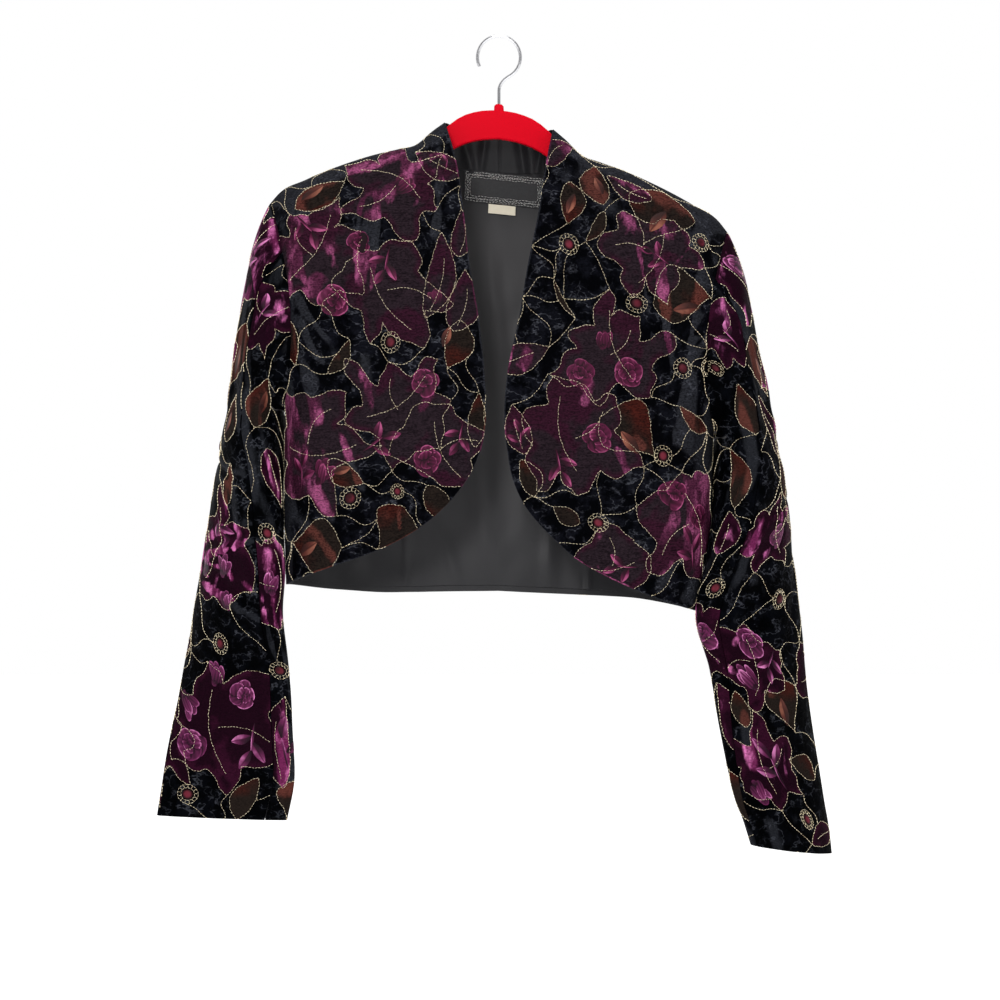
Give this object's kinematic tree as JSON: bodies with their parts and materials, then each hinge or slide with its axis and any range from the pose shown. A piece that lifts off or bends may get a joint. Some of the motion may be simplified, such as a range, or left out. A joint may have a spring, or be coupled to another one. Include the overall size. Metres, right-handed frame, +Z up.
{
  "type": "cropped jacket on a hanger",
  "caption": "Cropped open-front velvet jacket with leaf and rose print, gold outline stitching and satin lining, hung on a red plastic hanger",
  "frame": {"origin": "Inside of the hanger hook's crown, where a rail carries it", "axes": "+X to the viewer's right, which is the wearer's left; -Y is the side the fronts face; +Z is up"},
  "size_m": [0.6328, 0.1331, 0.7655],
  "materials": {
    "velvet": "printed crushed velvet with gold stitching",
    "satin": "charcoal satin",
    "label_weave": "woven label, bare",
    "tab_weave": "cream woven tab, bare",
    "red_plastic": "moulded red plastic",
    "hook_steel": "plain bright wire"
  },
  "bodies": {
    "root": {"front_right": "velvet", "front_left": "velvet", "back": "velvet", "sleeve_top_right": "velvet", "sleeve_under_right": "velvet", "sleeve_top_left": "velvet", "sleeve_under_left": "velvet", "lining_back": "satin", "neck_facing_right": "satin", "neck_facing_left": "satin", "label": "label_weave", "size_tab": "tab_weave", "hanger_bar": "red_plastic", "hanger_hook": "hook_steel"}
  },
  "joints": []
}
